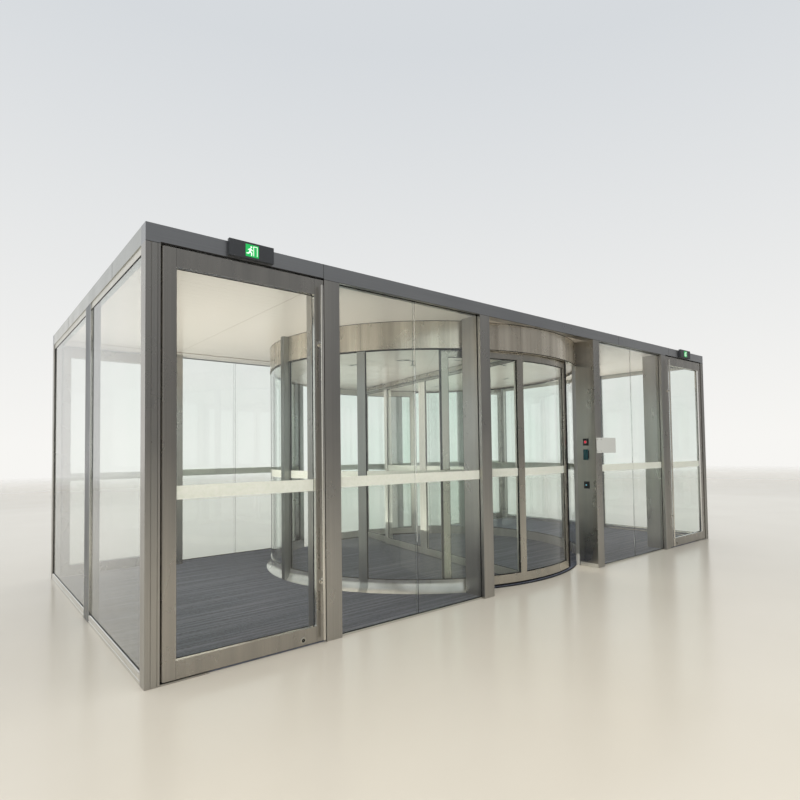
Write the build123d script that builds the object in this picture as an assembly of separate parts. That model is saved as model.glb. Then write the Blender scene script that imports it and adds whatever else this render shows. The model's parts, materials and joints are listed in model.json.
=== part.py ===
"""Glazed entrance unit with a two-wing revolving door, all sizes in millimetres.

The unit is a glass vestibule with one portal at the front (-Y, indoors) and one at the rear (+Y).
A round drum stands between the portals. Its rotor has two curved end panels and a straight wing, and
two leaves in the middle of the wing slide apart. A swing door stands at each end of both fronts.
The origin is on the floor, under the middle of the drum.
"""

import os
from math import asin, degrees, sqrt

from build123d import *

# Overall heights
header_bottom = 2750
header_height = 120
mat_thickness = 10
running_gap = 6
seat_gap = 0.3
mat_gap = 0.8

# Front and rear, from the middle outwards
opening_width = 1834
column_width = 136
fixed_bay_width = 1588
door_bay_width = 1166
corner_post_width = 87

# Depths, from the front face inwards
portal_reveal = 44
header_depth = 105
jamb_column_depth = 285
corner_post_depth = 105
fixed_glass_setback = 45
mat_edge_setback = 20

# Upright grooves in the corner posts, each with its distance from the outer corner and its width
post_grooves = ((27, 9), (69, 4))
post_groove_depth = 6

# Side walls, whose middle post stands nearer to the front
side_frame_depth = 38
side_sill_height = 75
side_mid_post_depth = 52
side_mid_post_length = 232
side_mid_post_offset = 175

# Sheets and rails that several pieces share
glass_thickness = 12
floor_channel_height = 15
floor_channel_width = 40
ceiling_thickness = 15
roof_thickness = 20

# Swing door leaves
leaf_thickness = 56
leaf_setback = 5
leaf_gap = 6
leaf_foot = 16
leaf_heel_stile = 89
leaf_lock_stile = 75
leaf_bottom_rail_top = 130
leaf_top_rail = 120
pull_radius = 11
pull_standoff = 38
pull_edge_distance = 33
pull_low = 33
pull_high = 2690
pull_bracket_heights = (460, 2245)
pull_bracket_radius = 8
spindle_radius = 12
spindle_rise = 34
top_pin_radius = 10
top_pin_length = 34
floor_spring_length = 300
floor_spring_width = 108

# Round drum: the fixed curved walls and the fascia over them
drum_inner_radius = 2010
drum_wall_thickness = 40
drum_post_width = 90
drum_base_height = 135
drum_base_flare = 50
fascia_bottom = 2460
drum_ceiling_bottom = 2480
drum_ceiling_thickness = 20
tie_post_width = 76
tie_post_depth = 60

# Rotor, with its angles in degrees
rest_angle = -9
panel_half_angle = 27
panel_thickness = 40
seal_depth = 8
seal_width = 22
panel_stile_width = 92
panel_mullion_width = 84
panel_foot = 35
panel_bottom_rail_top = 124
panel_top_rail_bottom = 2388
panel_ceiling_gap = 8
brush_thickness = 14
transom_width = 180
transom_bottom = 2422
transom_height = 50
wing_sheet_thickness = 40
wing_sheet_gap = 10
wing_foot = 26
wing_bottom_rail_top = 113
wing_top_rail = 22
wing_stile_width = 76
sliding_leaf_width = 1128
sliding_leaf_gap = 6
screen_overlap = 79
track_height = 36
track_width = 70
track_lip = 8
track_slit = 24
carriage_plate = 12
carriage_plate_length = 60
carriage_plate_rise = 5
carriage_wheel_radius = 13
carriage_wheel_width = 22
carriage_edge_distance = 160
shaft_radius = 60
bearing_radius = 160
bearing_height = 60
shaft_flange_height = 30
shaft_flange_radius = 110

# Small fittings at the front
sign_width = 320
sign_height = 115
sign_depth = 30
sign_rise = 20
button_width = 70
button_depth = 12
button_heights = (986, 1357, 1509)
button_height = 86
button_setback = 131

# Places worked out from the sizes above
header_top = header_bottom + header_height
drum_outer_radius = drum_inner_radius + drum_wall_thickness
half_depth = drum_outer_radius + portal_reveal
column_inner = opening_width / 2
column_outer = column_inner + column_width
jamb_inner = column_outer + fixed_bay_width
jamb_outer = jamb_inner + column_width
door_outer = jamb_outer + door_bay_width
half_length = door_outer + corner_post_width

# The curved walls end against the backs of the portal columns
wall_end_y = sqrt(drum_outer_radius**2 - column_inner**2)
wall_end_angle = degrees(asin(wall_end_y / drum_outer_radius))
drum_post_half_angle = degrees(asin(drum_post_width / 2 / drum_outer_radius))
drum_wall_half_angle = wall_end_angle - drum_post_half_angle
portal_column_depth = half_depth - wall_end_y - seat_gap

# Places on the rotor and the swing doors
rotor_radius = drum_inner_radius - running_gap
panel_outer_radius = rotor_radius - seal_depth
panel_inner_radius = panel_outer_radius - panel_thickness
panel_top = drum_ceiling_bottom - panel_ceiling_gap
screen_inner_edge = sliding_leaf_gap / 2 + sliding_leaf_width - screen_overlap
leaf_top =header_bottom - running_gap
leaf_length = door_bay_width - 2 * leaf_gap
pivot_x = door_outer - leaf_gap - leaf_thickness / 2
pivot_y = half_depth - leaf_setback - leaf_thickness / 2
leaf_reach = leaf_length - leaf_thickness / 2


def block(x0, x1, y0, y1, z0, z1):
    """A box between two corners, whichever way round they are given."""
    size = (abs(x1 - x0), abs(y1 - y0), abs(z1 - z0))
    return Pos((x0 + x1) / 2, (y0 + y1) / 2, (z0 + z1) / 2) * Box(*size)


def ring_sector(inner, outer, start, end, low, high):
    """A piece of a round wall between two angles, in degrees from +X."""
    outer_arc = CenterArc((0, 0), outer, start, end - start)
    inner_arc = CenterArc((0, 0), inner, start, end - start)
    outline = [outer_arc, Line(outer_arc @ 1, inner_arc @ 1), inner_arc, Line(inner_arc @ 0, outer_arc @ 0)]
    return Pos(0, 0, low) * extrude(make_face(Curve() + outline), amount=high - low)


def arc_of(width, radius):
    """The angle that a width takes on a circle."""
    return degrees(2 * asin(width / 2 / radius))


def write(name, *solids):
    """One file for each named piece, with all of its solids."""
    shape = solids[0] if len(solids) == 1 else Compound(children=list(solids))
    export_step(shape, f"parts/{name}.step")


def on_corners(maker):
    """The same piece at all four corners: front and rear, left and right."""
    return [maker(side, face) for side in (-1, 1) for face in (-1, 1)]


# Vestibule frame


def upright(side, face, near, far, depth):
    """A post of the front or the rear, from the floor to the header, flush with the outer face."""
    inner_y = half_depth - depth
    return block(side * near, side * far, face * inner_y, face * half_depth, 0, header_bottom)


def corner_post(side, face):
    """A corner post, with the grooves between its cladding and the frame of the door."""
    post = upright(side, face, door_outer, half_length, corner_post_depth)
    floor_y, front_y = half_depth - post_groove_depth, half_depth
    for distance, width in post_grooves:
        far = half_length - distance
        post -= block(side * (far - width), side * far, face * floor_y, face * front_y, 0, header_bottom)
    return post


def jamb_column(side, face):
    return upright(side, face, jamb_inner, jamb_outer, jamb_column_depth)


def portal_column(side, face):
    return upright(side, face, column_inner, column_outer, portal_column_depth)


def front_header(face):
    inner_y = half_depth - header_depth
    return block(-half_length, half_length, face * inner_y, face * half_depth, header_bottom, header_top)


def side_header(side):
    run = half_depth - header_depth
    inner_x = half_length - header_depth
    return block(side * inner_x, side * half_length, -run, run, header_bottom, header_top)


def floor_channel(side, face):
    middle = half_depth - fixed_glass_setback
    low, high = middle - floor_channel_width / 2, middle + floor_channel_width / 2
    bar = block(side * column_outer, side * jamb_inner, face * low, face * high, 0, floor_channel_height)
    slot = fixed_sheet(side, face, 0)
    return bar - slot


def fixed_sheet(side, face, low):
    middle = half_depth - fixed_glass_setback
    near, far = middle - glass_thickness / 2, middle + glass_thickness / 2
    return block(side * column_outer, side * jamb_inner, face * near, face * far, low, header_bottom)


def fixed_glass(side, face):
    """Two sheets side by side with a narrow butt joint between them."""
    joint = 3
    sheet = fixed_sheet(side, face, 0)
    middle = side * (column_outer + jamb_inner) / 2
    cut = block(middle - joint / 2, middle + joint / 2, -half_depth, half_depth, 0, header_bottom)
    return (sheet - cut).solids()


def mid_post_edge(face):
    """The edge of a side wall's middle post that faces the front or the rear."""
    return face * side_mid_post_length / 2 - side_mid_post_offset


def side_mid_post(side):
    inner_x = half_length - side_mid_post_depth
    return block(side * inner_x, side * half_length, mid_post_edge(-1), mid_post_edge(1), 0, header_bottom)


def side_sills(side):
    end = half_depth - corner_post_depth
    inner = half_length - side_frame_depth
    sills = []
    for face in (-1, 1):
        bar = block(side * inner, side * half_length, mid_post_edge(face), face * end, 0, side_sill_height)
        sills.append(bar)
    return sills


def side_glass(side):
    end = half_depth - corner_post_depth
    middle = half_length - side_frame_depth / 2
    near, far = middle - glass_thickness / 2, middle + glass_thickness / 2
    low, high = side_sill_height, header_bottom
    panes = []
    for face in (-1, 1):
        panes.append(block(side * near, side * far, mid_post_edge(face), face * end, low, high))
    return panes


def ceiling_half(side):
    run_x = half_length - header_depth
    run_y = half_depth - header_depth
    return block(0, side * run_x, -run_y, run_y, header_bottom, header_bottom + ceiling_thickness)


def roof_deck():
    run_x = half_length - header_depth
    run_y = half_depth - header_depth
    return block(-run_x, run_x, -run_y, run_y, header_top - roof_thickness, header_top)


# Drum


def wall_middle(side):
    """The direction from the origin to the middle of a curved wall, in degrees from +X."""
    return 0 if side > 0 else 180


def drum_posts(side):
    """Posts between the curved panes, and the tie post that runs up past the fascia."""
    half = drum_post_half_angle
    near, far = drum_inner_radius, drum_outer_radius
    posts = [tie_post(side)]
    for step in (-1, -0.5, 0, 0.5, 1):
        angle = wall_middle(side) + step * drum_wall_half_angle
        posts.append(ring_sector(near, far, angle - half, angle + half, drum_base_height, fascia_bottom))
    return posts


def tie_post(side):
    near = drum_outer_radius + seat_gap
    far = near + tie_post_depth
    return block(side * near, side * far, -tie_post_width / 2, tie_post_width / 2, 0, header_bottom)


def drum_glass(side):
    middle = wall_middle(side)
    centre = drum_inner_radius + drum_wall_thickness / 2
    near, far = centre - glass_thickness / 2, centre + glass_thickness / 2
    panes = []
    for step in (-1, -0.5, 0, 0.5):
        start = middle + step * drum_wall_half_angle + drum_post_half_angle
        end = middle + (step + 0.5) * drum_wall_half_angle - drum_post_half_angle
        panes.append(ring_sector(near, far, start, end, drum_base_height, fascia_bottom))
    return panes


def drum_base(side):
    """Base rail of a curved wall, with a coved skirt that flares out to the floor."""
    span = 2 * wall_end_angle
    toe = 12
    foot = drum_outer_radius + drum_base_flare
    rise = drum_base_height - toe - 30
    with BuildSketch(Plane.XZ) as section:
        with BuildLine():
            Line((drum_inner_radius, 0), (foot, 0))
            Line((foot, 0), (foot, toe))
            RadiusArc((foot, toe), (drum_outer_radius, toe + rise), 1.35 * rise)
            Line((drum_outer_radius, toe + rise), (drum_outer_radius, drum_base_height))
            Line((drum_outer_radius, drum_base_height), (drum_inner_radius, drum_base_height))
            Line((drum_inner_radius, drum_base_height), (drum_inner_radius, 0))
        make_face()
    ring = revolve(section.sketch, axis=Axis.Z, revolution_arc=span)
    base = Rot(0, 0, wall_middle(side) - span / 2) * ring
    for face in (-1, 1):
        base -= portal_column(side, face)
    return base - tie_post(side)


def drum_fascia():
    height = header_bottom - fascia_bottom
    ring = Cylinder(drum_outer_radius, height) - Cylinder(drum_inner_radius, height)
    return Pos(0, 0, (header_bottom + fascia_bottom) / 2) * ring


def drum_ceiling():
    disc = Cylinder(drum_inner_radius - seat_gap, drum_ceiling_thickness)
    disc -= Cylinder(shaft_radius + seat_gap, drum_ceiling_thickness)
    return Pos(0, 0, drum_ceiling_bottom + drum_ceiling_thickness / 2) * disc


def rotor_bearing():
    bottom = drum_ceiling_bottom + drum_ceiling_thickness
    housing = Cylinder(bearing_radius, bearing_height) - Cylinder(shaft_radius + seat_gap, bearing_height)
    return Pos(0, 0, bottom + bearing_height / 2) * housing


# Floor mats


def drum_mat():
    return Pos(0, 0, mat_thickness / 2) * Cylinder(drum_inner_radius - seat_gap, mat_thickness)


def vestibule_mat(side):
    """Ribbed mat round the outside of the drum, cut round every piece that stands on the floor."""
    front = half_depth - mat_edge_setback
    near, far = column_inner + mat_gap, half_length - side_frame_depth - mat_gap
    drum_edge = drum_outer_radius + drum_base_flare + mat_gap
    mat = block(side * near, side * far, -front, front, 0, mat_thickness)
    mat -= Pos(0, 0, mat_thickness / 2) * Cylinder(drum_edge, mat_thickness)
    for face in (-1, 1):
        mat -= grown(portal_column(side, face))
        mat -= grown(jamb_column(side, face))
        mat -= grown(corner_post(side, face))
        mat -= grown(floor_channel(side, face))
        mat -= grown(floor_spring(side, face))
    mat -= grown(side_mid_post(side))
    mat -= grown(tie_post(side))
    pieces = mat.solids()
    return sorted(pieces, key=lambda piece: piece.volume)[-1]


def grown(solid):
    """The box round a piece, larger by the mat's gap on every side."""
    box = solid.bounding_box()
    margin = 2 * mat_gap
    return Pos(box.center()) * Box(box.size.X + margin, box.size.Y + margin, box.size.Z + margin)


# Swing doors, built at the front's left end with the pivot on the Z axis, then placed


def leaf_outline(low, high):
    """The leaf seen from above: a round heel about the pivot and a straight run to the lock edge."""
    half = leaf_thickness / 2
    run = Pos(leaf_reach / 2, 0, (low + high) / 2) * Box(leaf_reach, leaf_thickness, high - low)
    return run + Pos(0, 0, (low + high) / 2) * Cylinder(half, high - low)


def leaf_window(thickness):
    """The glazed opening of a swing door, as a sheet of the given thickness."""
    start, end = leaf_heel_stile - leaf_thickness / 2, leaf_reach - leaf_lock_stile
    half = thickness / 2
    return block(start, end, -half, half, leaf_bottom_rail_top, leaf_top - leaf_top_rail)


def swing_leaf():
    leaf = leaf_outline(leaf_foot, leaf_top) - leaf_window(2 * leaf_thickness)
    low_bore_end = mat_thickness + spindle_rise + seat_gap
    leaf -= standing_round(spindle_radius + seat_gap, 0, low_bore_end)
    top_bore_end = header_bottom - top_pin_length - seat_gap
    return leaf - standing_round(top_pin_radius + seat_gap, top_bore_end, header_bottom)


def standing_round(radius, low, high):
    return Pos(0, 0, (low + high) / 2) * Cylinder(radius, high - low)


def floor_spring(side, face):
    """Cover plate of a floor spring, let into the mat, with the spindle that carries the leaf."""
    near, far = door_outer - floor_spring_length, door_outer - seat_gap
    edge = half_depth - floor_spring_width
    plate = block(side * near, side * far, face * edge, face * half_depth, 0, mat_thickness)
    spindle = standing_round(spindle_radius, 0, mat_thickness + spindle_rise)
    return plate + Pos(side * pivot_x, face * pivot_y, 0) * spindle


def top_pin(side, face):
    pin = standing_round(top_pin_radius, header_bottom - top_pin_length, header_bottom)
    return Pos(side * pivot_x, face * pivot_y, 0) * pin


def swing_glass():
    return leaf_window(glass_thickness)


def swing_pulls():
    """A full-height bar on each face, each on two short brackets."""
    across = leaf_reach - pull_edge_distance
    reach = leaf_thickness / 2 + pull_standoff
    bracket_middle = leaf_thickness / 2 + pull_standoff / 2
    pulls = []
    for face in (-1, 1):
        bar = Pos(across, face * reach, 0) * standing_round(pull_radius, pull_low, pull_high)
        for height in pull_bracket_heights:
            bracket = Rot(90, 0, 0) * Cylinder(pull_bracket_radius, pull_standoff)
            bar += Pos(across, face * bracket_middle, height) * bracket
        pulls.append(bar)
    return pulls


def place_swing(solid, side, face):
    placed = solid
    if side > 0:
        placed = mirror(placed, about=Plane.YZ)
    if face > 0:
        placed = mirror(placed, about=Plane.XZ)
    return Pos(side * pivot_x, face * pivot_y, 0) * placed


# Rotor, built with the wing along Y and turned to its rest angle at the end


def turned(solid):
    return Rot(0, 0, rest_angle) * solid


def panel_middle(face):
    return 90 if face > 0 else 270


def panel_windows(face, inner, outer):
    """The two glazed openings of a curved end panel."""
    middle = panel_middle(face)
    half_mullion = arc_of(panel_mullion_width, panel_outer_radius) / 2
    stile = arc_of(panel_stile_width, panel_outer_radius)
    low, high = panel_bottom_rail_top, panel_top_rail_bottom
    first = ring_sector(inner, outer, middle - panel_half_angle + stile, middle - half_mullion, low, high)
    second = ring_sector(inner, outer, middle + half_mullion, middle + panel_half_angle - stile, low, high)
    return [first, second]


def curved_panel(face):
    middle = panel_middle(face)
    start, end = middle - panel_half_angle, middle + panel_half_angle
    frame = ring_sector(panel_inner_radius, panel_outer_radius, start, end, panel_foot, panel_top)
    for window in panel_windows(face, panel_inner_radius - 1, panel_outer_radius + 1):
        frame -= window
    return frame


def curved_glass(face):
    centre = (panel_inner_radius + panel_outer_radius) / 2
    return panel_windows(face, centre - glass_thickness / 2, centre + glass_thickness / 2)


def rotor_seals():
    """Floor brushes under the curved panels, and soft edges on their end stiles."""
    centre = (panel_inner_radius + panel_outer_radius) / 2
    near, far = centre - brush_thickness / 2, centre + brush_thickness / 2
    low = mat_thickness + running_gap
    width = arc_of(seal_width, panel_outer_radius)
    seals = []
    for face in (-1, 1):
        middle = panel_middle(face)
        start, end = middle - panel_half_angle, middle + panel_half_angle
        seals.append(ring_sector(near, far, start, end, low, panel_foot))
        for edge in (start, end - width):
            ends = (edge, edge + width)
            seals.append(ring_sector(panel_outer_radius, rotor_radius, *ends, panel_foot, panel_top))
    return seals


def rotor_transom():
    """Beam over the wing, with the slotted track that carries the sliding leaves."""
    top = transom_bottom + transom_height
    reach = sqrt((panel_inner_radius - seat_gap) ** 2 - (transom_width / 2) ** 2)
    half = transom_width / 2
    beam = block(-half, half, -reach, reach, transom_bottom, top)
    middle = leaf_plane()
    floor = transom_bottom + track_lip
    run = reach - track_lip
    half_track, half_slit = track_width / 2, track_slit / 2
    beam -= block(middle - half_track, middle + half_track, -run, run, floor, floor + track_height)
    return beam - block(middle - half_slit, middle + half_slit, -run, run, transom_bottom, floor)


def leaf_plane():
    """Where the middle of the sliding leaves lies across the wing."""
    return -(wing_sheet_gap + wing_sheet_thickness) / 2


def screen_plane():
    return (wing_sheet_gap + wing_sheet_thickness) / 2


def wing_window(plane, near, far, top, thickness):
    low = wing_bottom_rail_top
    high = top - wing_top_rail
    start, end = near + wing_stile_width, far - wing_stile_width
    return block(plane - thickness / 2, plane + thickness / 2, start, end, low, high)


def wing_frame(plane, near, far, top):
    half = wing_sheet_thickness / 2
    frame = block(plane - half, plane + half, near, far, wing_foot, top)
    return frame - wing_window(plane, near, far, top, 2 * wing_sheet_thickness)


def screen_reach():
    edge = screen_plane() + wing_sheet_thickness / 2
    return sqrt((panel_inner_radius - seat_gap) ** 2 - edge**2)


def wing_screen(face):
    frame = wing_frame(screen_plane(), screen_inner_edge, screen_reach(), transom_bottom)
    return frame if face > 0 else mirror(frame, about=Plane.XZ)


def wing_screen_glass(face):
    plane = screen_plane()
    glass = wing_window(plane, screen_inner_edge, screen_reach(), transom_bottom, glass_thickness)
    return glass if face > 0 else mirror(glass, about=Plane.XZ)


def sliding_leaf(face):
    """One leaf on two carriages, whose wheels stand on the lips of the track."""
    plane = leaf_plane()
    top = transom_bottom - running_gap
    near = sliding_leaf_gap / 2
    far = near + sliding_leaf_width
    leaf = wing_frame(plane, near, far, top)
    wheel_height = transom_bottom + track_lip + seat_gap + carriage_wheel_radius
    for place in (near + carriage_edge_distance, far - carriage_edge_distance):
        half, reach = carriage_plate / 2, carriage_plate_length / 2
        plate_top = wheel_height + carriage_plate_rise
        leaf += block(plane - half, plane + half, place - reach, place + reach, top, plate_top)
        wheel = Rot(0, 90, 0) * Cylinder(carriage_wheel_radius, carriage_plate + 2 * carriage_wheel_width)
        leaf += Pos(plane, place, wheel_height) * wheel
    return leaf if face > 0 else mirror(leaf, about=Plane.XZ)


def sliding_glass(face):
    near = sliding_leaf_gap / 2
    top = transom_bottom - running_gap
    glass = wing_window(leaf_plane(), near, near + sliding_leaf_width, top, glass_thickness)
    return glass if face > 0 else mirror(glass, about=Plane.XZ)


def rotor_hub():
    """The shaft that rises from the transom through the ceiling, and its flange over the bearing."""
    transom_top = transom_bottom + transom_height
    seat = drum_ceiling_bottom + drum_ceiling_thickness + bearing_height + seat_gap
    flange_top = seat + shaft_flange_height
    shaft = standing_round(shaft_radius, transom_top, flange_top)
    return shaft + standing_round(shaft_flange_radius, seat, flange_top)


# Fittings


def exit_sign(side):
    """A shallow light box on the front face of the header, over the middle of a door."""
    middle = side * (jamb_outer + door_outer) / 2
    low = header_bottom + sign_rise
    near, far = middle - sign_width / 2, middle + sign_width / 2
    return block(near, far, -half_depth - sign_depth, -half_depth, low, low + sign_height)


def control_panels():
    middle = -half_depth + button_setback
    near, far = column_inner - button_depth, column_inner
    panels = []
    for height in button_heights:
        low, high = height - button_height / 2, height + button_height / 2
        panels.append(block(near, far, middle - button_width / 2, middle + button_width / 2, low, high))
    return panels


def build():
    os.makedirs("parts", exist_ok=True)
    write("corner_posts", *on_corners(corner_post))
    write("door_jamb_columns", *on_corners(jamb_column))
    write("portal_columns", *on_corners(portal_column))
    write("floor_channels", *[piece for bar in on_corners(floor_channel) for piece in bar.solids()])
    write("door_pivots", *on_corners(floor_spring), *on_corners(top_pin))
    write("roof_deck", roof_deck())
    write("drum_fascia", drum_fascia())
    write("drum_ceiling", drum_ceiling())
    write("rotor_bearing", rotor_bearing())
    write("drum_mat", drum_mat())
    for face, end in ((-1, "front"), (1, "rear")):
        write(f"header_{end}", front_header(face))
        write(f"fixed_glass_{end}", *fixed_glass(-1, face), *fixed_glass(1, face))
    for side, hand in ((-1, "left"), (1, "right")):
        write(f"header_{hand}", side_header(side))
        write(f"ceiling_{hand}", ceiling_half(side))
        write(f"side_frame_{hand}", side_mid_post(side) + side_sills(side))
        write(f"side_glass_{hand}", *side_glass(side))
        write(f"drum_base_{hand}", drum_base(side))
        write(f"drum_posts_{hand}", *drum_posts(side))
        write(f"drum_glass_{hand}", *drum_glass(side))
        write(f"vestibule_mat_{hand}", vestibule_mat(side))
        write(f"exit_sign_{hand}", exit_sign(side))
        for face, end in ((-1, "front"), (1, "rear")):
            name = f"{end}_{hand}"
            write(f"swing_leaf_{name}", place_swing(swing_leaf(), side, face))
            write(f"swing_glass_{name}", place_swing(swing_glass(), side, face))
            write(f"swing_pulls_{name}", *[place_swing(bar, side, face) for bar in swing_pulls()])
    write("control_panels", *control_panels())
    write("rotor_transom", turned(rotor_transom()))
    write("rotor_hub", turned(rotor_hub()))
    write("rotor_seals", *[turned(seal) for seal in rotor_seals()])
    write("wing_screens", *[turned(wing_screen(face)) for face in (-1, 1)])
    write("wing_screen_glass", *[turned(wing_screen_glass(face)) for face in (-1, 1)])
    for face, end in ((-1, "front"), (1, "rear")):
        write(f"curved_panel_{end}", turned(curved_panel(face)))
        write(f"curved_glass_{end}", *[turned(pane) for pane in curved_glass(face)])
        write(f"sliding_leaf_{end}", turned(sliding_leaf(face)))
        write(f"sliding_glass_{end}", turned(sliding_glass(face)))


build()
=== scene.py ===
"""Glazed entrance unit with a two-wing revolving door: finishes, fittings, light and camera, in metres."""

import json
import math

import bmesh
import bpy
from mathutils import Matrix, Vector


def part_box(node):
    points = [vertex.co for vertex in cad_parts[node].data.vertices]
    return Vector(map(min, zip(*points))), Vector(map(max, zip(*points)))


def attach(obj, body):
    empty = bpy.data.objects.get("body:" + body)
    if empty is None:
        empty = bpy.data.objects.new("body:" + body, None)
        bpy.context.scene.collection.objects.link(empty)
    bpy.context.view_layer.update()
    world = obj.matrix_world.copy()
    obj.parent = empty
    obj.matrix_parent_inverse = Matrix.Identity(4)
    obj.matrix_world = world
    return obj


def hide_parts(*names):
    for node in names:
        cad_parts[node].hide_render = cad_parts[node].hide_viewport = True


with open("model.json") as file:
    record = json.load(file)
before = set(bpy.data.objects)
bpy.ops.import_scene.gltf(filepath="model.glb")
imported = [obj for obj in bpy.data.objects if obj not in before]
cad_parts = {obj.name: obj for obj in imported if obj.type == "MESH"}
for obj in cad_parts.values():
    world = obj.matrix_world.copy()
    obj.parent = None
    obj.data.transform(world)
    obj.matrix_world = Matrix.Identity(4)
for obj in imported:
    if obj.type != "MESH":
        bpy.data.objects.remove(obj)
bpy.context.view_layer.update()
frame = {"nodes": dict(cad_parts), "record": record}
scene = bpy.context.scene

MM = 0.001
ENDS = (("front", -1), ("rear", 1))
HANDS = (("left", -1), ("right", 1))
CORNERS = {f"{end}_{hand}": (side, face) for hand, side in HANDS for end, face in ENDS}
DRUM_WALLS = (("left", math.pi), ("right", 0.0))
END_PANELS = (("front", -math.pi / 2), ("rear", math.pi / 2))

# Sizes of the construction that several fittings follow
HALF_DEPTH = -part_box("header_front")[0].y
HALF_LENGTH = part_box("header_front")[1].x
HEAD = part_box("header_front")[0].z
HEADER_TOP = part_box("header_front")[1].z
DOORWAY = (2.777, 3.943)
PORTAL_HALF = 0.917
COLUMN_OUTER = 1.053
DRUM_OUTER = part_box("drum_fascia")[1].x
DRUM_INNER = 2.010
DRUM_GLASS = (DRUM_INNER + DRUM_OUTER) / 2
DRUM_LINING_TOP = 2.480
DRUM_BAY = math.radians(62.17) / 2
DRUM_POST = math.asin(0.045 / DRUM_OUTER)
SIDE_POST = (-0.291, -0.059)
WING_TURN = math.radians(-9)
PANEL_MIDDLE = 1.976
PANEL_OUTER = 1.996
PANEL_HALF = math.radians(27)
PANEL_STILE = 2 * math.asin(0.046 / PANEL_OUTER)
PANEL_MULLION = math.asin(0.042 / PANEL_OUTER)
WING_PLANE = 0.025
SCREEN_SPANS = [(1.128, 1.879), (-1.879, -1.128)]
LEAF_SPANS = [(-1.055, -0.079), (0.079, 1.055)]
GLASS_FACE = 6 * MM

# Sizes of the fittings that are made here
BAND_ON_DOORS = (1.133, 1.221)
BAND_ON_BAYS = (1.145, 1.230)
FILM = (GLASS_FACE + 0.1 * MM, GLASS_FACE + 0.5 * MM)
JOINT_HALF = 1.5 * MM
PROUD = 0.4 * MM
JOINT = (-1 * MM, PROUD)
BEAD = 7 * MM
BEAD_GASKET = 2 * MM
GASKET = 4 * MM
RIB_SPACING = 16 * MM
RIB_WIDTH = 9 * MM
RIB_HEIGHT = 2.5 * MM
SLAT = 0.1
LIGHT_RING = 1.29
PANE_STEPS = 12


# Colours and nodes


def linear(hex_colour):
    """A linear colour from an sRGB hex value."""
    channels = [int(hex_colour[i:i + 2], 16) / 255 for i in (1, 3, 5)]
    return tuple(c / 12.92 if c <= 0.04045 else ((c + 0.055) / 1.055) ** 2.4 for c in channels) + (1.0,)


def darker(hex_colour, share):
    return tuple(share * c for c in linear(hex_colour)[:3]) + (1.0,)


def wire(tree, node, inputs):
    """Gives each of these inputs of a node its value or its link."""
    for key, value in inputs.items():
        if isinstance(value, bpy.types.NodeSocket):
            tree.links.new(value, node.inputs[key])
        else:
            node.inputs[key].default_value = value


def add(tree, kind, inputs=None, out=0, **settings):
    """Adds a node with its settings and the values or links of its inputs. Returns one of its outputs."""
    node = tree.nodes.new(kind)
    for name, value in settings.items():
        setattr(node, name, value)
    wire(tree, node, inputs or {})
    return node.outputs[out] if node.outputs else None


def new_finish(name, **constants):
    """A material with constants on its shader. Returns it with its tree, shader and object coordinates."""
    finish = bpy.data.materials.new(name)
    finish.use_nodes = True
    tree = finish.node_tree
    shader = tree.nodes["Principled BSDF"]
    wire(tree, shader, {key.replace("_", " "): value for key, value in constants.items()})
    return finish, tree, shader, add(tree, "ShaderNodeTexCoord", out="Object")


def mottle(tree, place, grain, detail=3.0):
    """Uneven grey whose grains are this long, wide and high in metres."""
    scaled = add(tree, "ShaderNodeMapping", {"Vector": place, "Scale": tuple(1 / size for size in grain)})
    return add(tree, "ShaderNodeTexNoise", {"Vector": scaled, "Scale": 1.0, "Detail": detail}, out="Fac")


CONTRAST = {"From Min": 0.3, "From Max": 0.7}
FULL_RANGE = {"From Min": 0.0, "From Max": 1.0}


def blend(tree, pattern, first, second, contrast=CONTRAST, most=1.0):
    """Two colours mixed by a pattern, whose light places take at most this share of the second colour."""
    share = add(tree, "ShaderNodeMapRange", {**contrast, "Value": pattern, "To Max": most})
    return add(tree, "ShaderNodeMix", {0: share, 6: first, 7: second}, 2, data_type="RGBA")


# Finishes


def weather(tree, shader, colour, cloud, gloss, relief):
    """Connects a colour, a roughness that a cloud moves between two values, and a fine relief."""
    rough = {**CONTRAST, "Value": cloud, "To Min": gloss[0], "To Max": gloss[1]}
    wire(tree, shader, {"Base Color": colour, "Roughness": add(tree, "ShaderNodeMapRange", rough),
                        "Normal": add(tree, "ShaderNodeBump", relief)})


def brushed_steel(name, grain, tone, light_tone, roughness, mirror=1.0, rim=1.0):
    """Stainless sheet drawn under abrasive brushes: hair lines along the grain and soft bands across it.

    The real hair lines are about 0.1 mm apart. They are drawn 4 mm apart so that they show at this distance.
    Coarse brushing scatters a part of the light, which "mirror" takes from the reflection, and "rim" dulls
    the reflection at flat angles.
    """
    finish, tree, shader, place = new_finish(name, Metallic=mirror, Anisotropic=0.35,
                                             Specular_Tint=(rim, rim, rim, 1.0))
    hair, reach = 4 * MM, 0.9
    upright = grain == "upright"
    lines = mottle(tree, place, (hair, hair, reach) if upright else (reach, hair, hair), 2.0)
    # The bands are brushing; on the drum's fascia their pale tone is also painted reflection
    bands = mottle(tree, place, (0.11, 0.11, 6.0) if upright else (1.1, 3.0, 3.0), 1.0)
    colour = blend(tree, bands, linear(tone), linear(light_tone))
    colour = blend(tree, lines, colour, darker(tone, 0.8), most=0.35)
    smudges = mottle(tree, place, (0.25, 0.25, 0.4), 4.0)
    relief = {"Height": lines, "Strength": 0.05, "Distance": 0.3 * MM}
    weather(tree, shader, colour, smudges, (roughness - 0.05, roughness + 0.07), relief)
    return finish


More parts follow.
